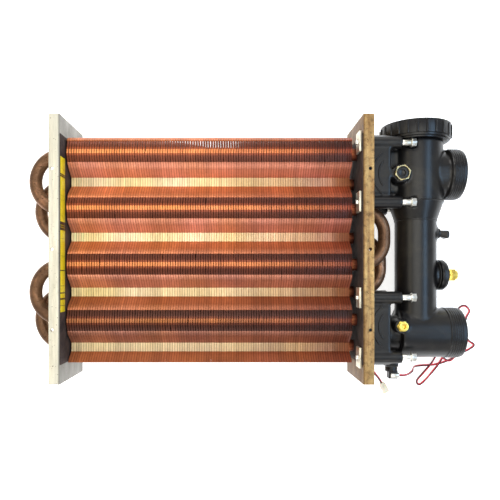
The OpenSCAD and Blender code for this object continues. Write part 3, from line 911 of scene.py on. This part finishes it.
    def turn_edges(self, bm: bmesh.types.BMesh, outline: list[bmesh.types.BMEdge]) -> None:
        """Turns the edges over towards the next fin: far on the slopes and valleys, little on the lobes."""
        lobes = [e for e in outline if self.kind_of(e) is Facet.LOBE]
        front = [e for e in outline if self.kind_of(e) not in (Facet.LOBE, Facet.END)
                 and self.on_front(e.verts[0].co)]
        back = [e for e in outline if self.kind_of(e) not in (Facet.LOBE, Facet.END)
                and not self.on_front(e.verts[0].co)]
        for group, reach, droop in (
            (lobes, self.lobe_reach, 0.3 * MM),
            (front, self.tab_reach, 0.45 * MM),
            (back, self.pitch + self.sheet, 0.5 * MM),
        ):
            for step, lift in ((0.5 * MM, 0.25 * MM), (reach - 0.5 * MM, -droop)):
                grown = bmesh.ops.extrude_edge_only(bm, edges=group)["geom"]
                verts = [g for g in grown if isinstance(g, bmesh.types.BMVert)]
                for vert in verts:
                    vert.co.x += step
                    vert.co.z += lift if self.on_front(vert.co) else -lift
                group = [g for g in grown if isinstance(g, bmesh.types.BMEdge) and set(g.verts) <= set(verts)]

    def on_front(self, place: Vector) -> bool:
        """Whether a point of the edge is on the front side."""
        return place.z > (self.front_z + self.back_z) / 2

    def build(self) -> None:
        """Builds the pack in two halves, each one a piece."""
        template = bpy.data.meshes.new("one_fin")
        fin = self.one_fin()
        fin.to_mesh(template)
        fin.free()
        rng = random.Random(self.seed)
        half = self.count // 2
        self.build_run("left_half_fins", template, range(half), rng)
        self.build_run("right_half_fins", template, range(half, self.count), rng)
        bpy.data.meshes.remove(template)

    def build_run(self, name: str, template: bpy.types.Mesh, places: range, rng: random.Random) -> None:
        """Repeats the fin along X, each one a little bent and tinted its own way, with painted light and
        shade in the tint.

        Args:
            name: The piece's name.
            template: The fin at X = 0.
            places: Which places of the pack the fins take.
            rng: The source of their small differences.
        """
        bm = bmesh.new()
        tint = bm.loops.layers.float_color.new("tint")
        for i in places:
            first_vert, first_face = len(bm.verts), len(bm.faces)
            bm.from_mesh(template)
            bm.verts.ensure_lookup_table()
            bm.faces.ensure_lookup_table()
            self.tint_fin(bm.faces[first_face:], i, tint, rng)
            self.place_fin(bm.verts[first_vert:], i, rng)
        finish_piece(new_piece(name, bm, Finish.FIN_TABS, 25.0), ROOT, "copper_fins", "fin_pack")

    def painted_tube_highlight(self, away: float) -> float:
        """A painted highlight over each front tube: how much brighter the lobe is over the tube than at its
        sides.
        """
        return 0.28 + 1.45 * math.exp(-((away / 0.24) ** 2))

    def place_fin(self, verts: Sequence[bmesh.types.BMVert], index: int, rng: random.Random) -> None:
        """Moves one fin to its place and bends its edges slightly.

        Args:
            verts: The fin's vertices.
            index: Its place in the pack.
            rng: The source of its small bends.
        """
        x = self.start + index * self.pitch
        phase = rng.uniform(0, math.tau)
        kink_y = rng.uniform(-self.half_length, self.half_length)
        kink = rng.choice((0.0, 0.0, 0.0, 0.5, 0.9)) * MM
        middle_z = (self.front_z + self.back_z) / 2
        for vert in verts:
            y, z = vert.co.y, vert.co.z
            reach = min(max(vert.co.x / self.tab_reach, 0.0), 1.0)
            wave = noise.noise(Vector((index * 0.7, y * 90, z * 40))) * 0.32 * MM
            height = abs(z - middle_z) / (33 * MM)
            bow = 0.25 * MM * math.sin(y * 260 + phase * 0.2) * height
            dent = kink * math.exp(-((y - kink_y) / (6 * MM)) ** 2) * height ** 3
            vert.co.x += x + bow + dent + wave * reach
            vert.co.z += math.copysign(wave * 0.5 * reach, z - middle_z)

    def tint_fin(
        self, faces: Sequence[bmesh.types.BMFace], index: int, tint: object, rng: random.Random
    ) -> None:
        """Writes the fin's tint on its faces, painted light and shade included.

        Args:
            faces: The fin's faces.
            index: Its place in the pack.
            tint: The colour layer.
            rng: The source of the small differences.
        """
        along = index / (self.count - 1)
        jitter = rng.uniform(0.86, 1.10)
        for face in faces:
            centre = face.calc_center_median()
            flat = abs(face.normal.x) > 0.8
            kind = Facet.PLATE if flat else self.facet_of(centre.y, self.on_front(centre))
            row = min(max(round(1.75 - centre.y / self.tube_pitch), 0), 3)
            patch = 1 + 0.30 * noise.noise(Vector((index * 0.09, centre.y * 34, 3.0)))
            rose = 1 + 0.25 * noise.noise(Vector((index * 0.07, centre.y * 25, 9.0)))
            away = min(abs(y - centre.y) for y in self.front_rows()) / self.lobe_half
            # Painted light: a painted highlight over each front tube on the lobes; on the slopes, painted
            # shade that lifts away from the lobes.
            crest = self.painted_tube_highlight(away) if kind is Facet.LOBE else min(0.62 + 0.25 * away, 1.12)
            fold = self.fold_shade if not flat and centre.x < 0.5 * MM else 1.0
            red, green, blue, alpha = self.painted_facet_light[kind].at(along, row, jitter * patch * crest * fold)
            # Painted shade: the dark lobe sides lose green and blue.
            if crest < 0.7:
                green, blue = green * self.darkening, blue * self.darkening
            for loop in face.loops:
                loop[tint] = min(red, 1.0), min(green, 1.0), min(blue * rose, 1.0), alpha


# ---- Tubes, bends and plates ----


@dataclass
class TubeWork:
    """The straight tubes, their return bends and the brazed joints."""

    straight: tuple[str, ...] = tuple(f"tube_{row}_{i}" for row in ("front", "back") for i in range(1, 5))
    bends: tuple[str, ...] = (
        "left_bend_front_upper", "left_bend_front_lower", "left_bend_back_upper", "left_bend_back_lower",
        "right_bend_front", "right_bend_back",
    )
    braze_lump: float = 0.5 * MM

    def build(self) -> None:
        """Smooths the tubes and bends, and roughens the braze."""
        for node in self.straight:
            piece = new_piece(f"{node}_wall", merged_copy(node, 0.1), Finish.TUBE)
            finish_piece(piece, ROOT, "copper_tube", node)
        for node in self.bends:
            piece = new_piece(f"{node}_wall", merged_copy(node, 0.1), Finish.BEND, 50.0)
            finish_piece(piece, ROOT, "oxidised_copper", node)
        self.build_braze()

    def build_braze(self) -> None:
        """Turns each plain braze ring into an uneven bead."""
        bm = merged_copy("braze_rings", 0.1)
        soften(bm, 0.7 * MM, segments=3)
        bmesh.ops.triangulate(bm, faces=[f for f in bm.faces if len(f.verts) > 4])
        for vert in bm.verts:
            lump = noise.noise(vert.co * 420) * self.braze_lump
            vert.co.y += lump
            vert.co.z += lump * 0.5
        finish_piece(new_piece("braze_beads", bm, Finish.BRAZE, 60.0), ROOT, "braze", "braze_rings")


@dataclass
class TubePlates:
    """The two flanged tube plates, their end boards and the label."""

    fold: float = 0.9 * MM

    def build(self) -> None:
        """Rounds the plates' folds and dresses everything on them."""
        softened_node("left_tube_plate", "left_plate_sheet", Finish.GALVANISED, ROOT, "galvanised_plate",
                      self.fold, 3)
        softened_node("right_tube_plate", "right_plate_sheet", Finish.YELLOW_ZINC, ROOT, "yellow_plate",
                      self.fold, 3)
        softened_node("left_end_board", "left_board_panel", Finish.BOARD, ROOT, "end_board", 0.3 * MM)
        softened_node("right_end_board", "right_board_panel", Finish.BOARD, ROOT, "end_board", 0.3 * MM)
        softened_node("label_strip", "label_sheet", Finish.LABEL, ROOT, "label", 0.1 * MM)


# ---- Header ----


@dataclass
class Header:
    """The moulded header, its seals and everything screwed to it."""

    voxel: float = 1.8 * MM
    smoothing: int = 5
    web_radius: float = 37 * MM
    bead: float = 1.3 * MM
    web_x: float = 216.5 * MM
    web_z: float = 96.8 * MM
    web_ys: tuple[float, float] = (108 * MM, -109 * MM)
    web_half_angle: float = 52.0
    pipe_x: float = 254.5 * MM
    axis_z: float = 54 * MM
    shoulder_beads: tuple[tuple[float, float], ...] = ((72.5 * MM, 39.2 * MM), (45.5 * MM, 29.8 * MM))
    port_threads: tuple[tuple[float, float], ...] = ((114.3 * MM, 300.5 * MM), (-121.5 * MM, 299.5 * MM))
    port_rim_x: float = 317.2 * MM
    thread_turns: int = 5
    thread_pitch: float = 3.0 * MM

    def build(self) -> None:
        """Builds the casting and its fittings."""
        self.build_casting()
        self.build_webs()
        self.build_collars()
        self.build_fixings()
        self.build_fittings()
        self.build_bypass()

    def build_casting(self) -> None:
        """Re-skins the header so that its joins flow into each other."""
        bm = merged_copy("header_body", 0.1)
        bmesh.ops.triangulate(bm, faces=bm.faces)
        piece = new_piece("header_casting", bm, Finish.POLYMER, 180.0)
        skin = piece.modifiers.new("skin", "REMESH")
        skin.mode = "VOXEL"
        skin.voxel_size = self.voxel
        skin.use_smooth_shade = True
        ease = piece.modifiers.new("ease", "SMOOTH")
        ease.factor = 0.5
        ease.iterations = self.smoothing
        finish_piece(piece, ROOT, "black_polymer", "header_body")

    def build_webs(self) -> None:
        """Raises the arched webs on both chambers, and the beads round the pipe's shoulder."""
        bm = bmesh.new()
        for y in self.web_ys:
            centre = Vector((self.web_x, y, self.web_z))
            self.add_arc(bm, centre, self.web_radius, self.web_half_angle)
            self.add_arc(bm, centre, self.web_radius - 9 * MM, self.web_half_angle - 14)
        for y, radius in self.shoulder_beads:
            self.add_ring(bm, Vector((self.pipe_x, y, self.axis_z)), radius, "Y", 1.4 * MM)
        bmesh.ops.recalc_face_normals(bm, faces=bm.faces)
        finish_piece(new_piece("header_webs", bm, Finish.POLYMER, 60.0), ROOT, "black_polymer")

    def add_arc(self, bm: bmesh.types.BMesh, centre: Vector, radius: float, half_angle: float) -> None:
        """Adds a bead bent about an upright axis, open towards +X.

        Args:
            bm: The mesh that it joins.
            centre: The arc's centre.
            radius: The arc's radius.
            half_angle: Half of the arc's angle, in degrees.
        """
        start = Matrix.Rotation(math.radians(180 - half_angle), 4, "Z")
        profile = bmesh.ops.create_circle(
            bm, cap_ends=True, segments=10, radius=self.bead,
            matrix=Matrix.Translation(centre) @ start @ Matrix.Translation((radius, 0, 0))
            @ Matrix.Rotation(math.pi / 2, 4, "X"),
        )["verts"]
        faces = [f for f in bm.faces if set(f.verts) <= set(profile)]
        bmesh.ops.spin(
            bm, geom=faces + list({e for f in faces for e in f.edges}) + profile, cent=centre, axis=(0, 0, 1),
            dvec=(0, 0, 0), angle=math.radians(2 * half_angle), steps=24,
            use_duplicate=False, use_merge=False,
        )

    def add_ring(self, bm: bmesh.types.BMesh, centre: Vector, radius: float, axis: str, bead: float) -> None:
        """Adds a closed round bead about an axis through the centre.

        Args:
            bm: The mesh that it joins.
            centre: The ring's centre.
            radius: The ring's radius.
            axis: X or Y.
            bead: The bead's own radius.
        """
        turn = Matrix.Rotation(-math.pi / 2, 4, "X") if axis == "Y" else Matrix.Rotation(math.pi / 2, 4, "Y")
        place = Matrix.Translation(centre) @ turn
        profile = bmesh.ops.create_circle(
            bm, cap_ends=False, segments=10, radius=bead,
            matrix=place @ Matrix.Translation((radius, 0, 0)) @ Matrix.Rotation(math.pi / 2, 4, "X"),
        )["verts"]
        bmesh.ops.spin(
            bm, geom=profile + list({e for v in profile for e in v.link_edges}), cent=centre,
            axis=place.to_3x3() @ Vector((0, 0, 1)), dvec=(0, 0, 0), angle=math.tau, steps=72,
            use_duplicate=False, use_merge=True,
        )

    def build_collars(self) -> None:
        """Raises the union threads as rings round both ports, with a rim at the mouth of each."""
        bm = bmesh.new()
        for y, first in self.port_threads:
            for i in range(self.thread_turns):
                centre = Vector((first + i * self.thread_pitch, y, self.axis_z))
                self.add_ring(bm, centre, 36.7 * MM, "X", 0.8 * MM)
            self.add_ring(bm, Vector((self.port_rim_x, y, self.axis_z)), 35.6 * MM, "X", 0.8 * MM)
        lower_y, lower_first = self.port_threads[1]
        self.add_ring(bm, Vector((lower_first - 4 * MM, lower_y, self.axis_z)), 36.2 * MM, "X", 1.5 * MM)
        bmesh.ops.recalc_face_normals(bm, faces=bm.faces)
        finish_piece(new_piece("union_threads", bm, Finish.NUT_POLYMER, 60.0), ROOT, "black_polymer")

    def build_fixings(self) -> None:
        """Dresses the gaskets, bolts, sleeves and nut plates."""
        softened_node("upper_gasket", "upper_seal", Finish.SEAL, ROOT, "seal_rubber", 0.3 * MM)
        softened_node("lower_gasket", "lower_seal", Finish.SEAL, ROOT, "seal_rubber", 0.3 * MM)
        softened_node("header_bolts", "header_bolt_set", Finish.ZINC, ROOT, "zinc_steel", 0.5 * MM)
        softened_node("bolt_sleeves", "bolt_sleeve_set", Finish.ZINC, ROOT, "zinc_steel", 0.3 * MM)
        softened_node("nut_plates", "nut_plate_set", Finish.PALE_ZINC, ROOT, "nut_plate_zinc", 0.5 * MM)

    def build_fittings(self) -> None:
        """Dresses the plug, nut, cock, bonnet, inserts and sensor."""
        softened_node("blanking_plug", "plug_disc", Finish.NUT_POLYMER, "plug", "black_polymer", 0.8 * MM)
        softened_node("plug_o_ring", "plug_seal", Finish.SEAL, "plug", "seal_rubber", 0.1 * MM)
        softened_node("blanking_nut", "ribbed_nut", Finish.NUT_POLYMER, "nut", "black_polymer", 1.1 * MM, 3)
        softened_node("wing_cock", "wing_handle", Finish.NUT_POLYMER, "cock", "black_polymer", 0.6 * MM)
        softened_node("bonnet_cap", "bonnet_cover", Finish.NUT_POLYMER, ROOT, "black_polymer", 1.0 * MM, 3)
        softened_node("bonnet_o_ring", "bonnet_seal", Finish.SEAL, ROOT, "seal_rubber", 0.1 * MM)
        softened_node("brass_plug", "brass_hexagon", Finish.BRASS, ROOT, "brass", 0.6 * MM)
        softened_node("port_insert", "insert_hexagon", Finish.NICKEL, ROOT, "nickel_insert", 0.5 * MM)
        softened_node("insert_plug", "insert_stopper", Finish.NUT_POLYMER, ROOT, "black_polymer", 0.4 * MM)
        softened_node("brass_fitting", "brass_nipple", Finish.BRASS, ROOT, "brass", 0.5 * MM)
        softened_node("sensor_housing", "sensor_block", Finish.NUT_POLYMER, ROOT, "black_polymer", 0.6 * MM)
        softened_node("sensor_ferrule", "sensor_sleeve", Finish.ZINC, ROOT, "zinc_steel", 0.3 * MM)

    def build_bypass(self) -> None:
        """Dresses the bypass valve and winds its spring."""
        softened_node("bypass_poppet", "poppet_disc", Finish.BRASS, "poppet", "brass", 0.4 * MM)
        softened_node("bypass_retainer", "retainer_disc", Finish.BRASS, ROOT, "brass", 0.3 * MM)
        BypassSpring().build()


@dataclass
class BypassSpring:
    """The coil spring under the bypass poppet."""

    wire: float = 0.8 * MM
    turns: int = 4
    steps_per_turn: int = 24
    travel: float = 12 * MM

    def build(self) -> bpy.types.Object:
        """Spins a wire section up the spring's axis, which runs along Y."""
        low, high = (Vector(corner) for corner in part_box("bypass_spring"))
        centre = (low + high) / 2
        radius = (high.x - low.x) / 2 - self.wire
        rise = high.y - low.y - 2 * self.wire
        bm = bmesh.new()
        start = Vector((centre.x + radius, low.y + self.wire, centre.z))
        ring = bmesh.ops.create_circle(
            bm, cap_ends=True, segments=8, radius=self.wire, matrix=Matrix.Translation(start)
        )
        bmesh.ops.spin(
            bm, geom=list(bm.faces) + list(bm.edges) + ring["verts"], cent=centre, axis=(0, 1, 0),
            dvec=(0, rise / (self.turns * self.steps_per_turn), 0), angle=math.tau * self.turns,
            steps=self.turns * self.steps_per_turn, use_duplicate=False, use_merge=False,
        )
        bmesh.ops.remove_doubles(bm, verts=bm.verts, dist=1e-7)
        bmesh.ops.recalc_face_normals(bm, faces=bm.faces)
        piece = new_piece("bypass_coil", bm, Finish.ZINC, 60.0)
        finish_piece(piece, ROOT, "zinc_steel", "bypass_spring")
        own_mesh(piece)
        return piece


# ---- Stage ----


@dataclass
class Stage:
    """The camera, the lights and the pale floor."""

    eye: tuple[float, float, float] = (-0.011, -0.043, 0.828)
    lens: float = 37.2
    shift: tuple[float, float] = (0.024, 0.06)
    floor_size: float = 12.0
    floor_drop: float = 0.2 * MM
    world_strength: float = 0.52

    def build(self) -> None:
        """Sets the whole stage."""
        self.build_camera()
        self.build_floor()
        self.build_world()
        self.build_light(
            "ceiling", (0.10, 0.07, 0.95), (0.10, 0.07, 0.0), (0.66, 0.56), 3.0, (1.0, 0.97, 0.88)
        )
        self.build_light("window", (0.92, 0.0, 1.0), (0.25, 0.0, 0.05), (1.2, 0.26), 6.4, (0.42, 0.68, 1.0))
        self.build_light("lamp", (-0.75, 0.0, 1.0), (0.25, 0.0, 0.05), (1.2, 0.2), 2.4, (1.0, 0.86, 0.60))
        for side in (-1, 1):
            self.build_light(
                "side", (-0.05, 1.3 * side, 0.85), (-0.05, 0.0, 0.07), (1.2, 0.5), 9.0, (1.0, 0.96, 0.92)
            )

    def build_camera(self) -> None:
        """Looks straight down, with +Y up in the frame."""
        lens = bpy.data.cameras.new("camera")
        lens.sensor_width = 36.0
        lens.lens = self.lens
        lens.shift_x, lens.shift_y = self.shift
        lens.clip_start = 0.01
        lens.clip_end = 50.0
        eye = bpy.data.objects.new("camera", lens)
        eye.location = self.eye
        bpy.context.scene.collection.objects.link(eye)
        bpy.context.scene.camera = eye

    def build_floor(self) -> None:
        """A plain pale floor, bright enough to read as white."""
        bm = bmesh.new()
        bmesh.ops.create_grid(bm, x_segments=1, y_segments=1, size=self.floor_size / 2)
        bmesh.ops.translate(bm, verts=bm.verts, vec=(0, 0, -self.floor_drop))
        mesh = bpy.data.meshes.new("floor")
        bm.to_mesh(mesh)
        bm.free()
        sketch = Sketch("pale floor")
        sketch.fixed(Base_Color=(0.92, 0.92, 0.92, 1.0), Roughness=0.9)
        sketch.fixed(Emission_Color=(1.0, 1.0, 0.99, 1.0), Emission_Strength=0.72)
        mesh.materials.append(sketch.material)
        floor = bpy.data.objects.new("floor", mesh)
        bpy.context.scene.collection.objects.link(floor)

    def build_world(self) -> None:
        """An even white surround."""
        world = bpy.data.worlds.new("surround")
        world.use_nodes = True
        shade = world.node_tree.nodes["Background"]
        shade.inputs["Color"].default_value = (1.0, 0.99, 0.97, 1.0)
        shade.inputs["Strength"].default_value = self.world_strength
        bpy.context.scene.world = world
        bpy.context.scene.view_settings.view_transform = "Standard"

    def build_light(
        self,
        name: str,
        place: tuple[float, float, float],
        aim: tuple[float, float, float],
        size: tuple[float, float],
        power: float,
        colour: tuple[float, float, float],
    ) -> None:
        """Adds one soft light.

        Args:
            name: The light's name.
            place: Where it hangs.
            aim: What it points at.
            size: Its two sides.
            power: Its power in watts.
            colour: Its colour.
        """
        lamp = bpy.data.lights.new(name, "AREA")
        lamp.shape = "RECTANGLE"
        lamp.size, lamp.size_y = size
        lamp.energy = power
        lamp.color = colour
        light = bpy.data.objects.new(name, lamp)
        light.location = place
        light.rotation_euler = (Vector(aim) - Vector(place)).to_track_quat("-Z", "Y").to_euler()
        bpy.context.scene.collection.objects.link(light)


def main() -> None:
    """Builds the stage, the lead and every sub-assembly in order."""
    logging.basicConfig(level=logging.INFO, format="%(name)s: %(message)s")
    Stage().build()
    SensorLead().build()
    FinPack().build()
    TubeWork().build()
    TubePlates().build()
    Header().build()


if __name__ == "__main__":
    main()
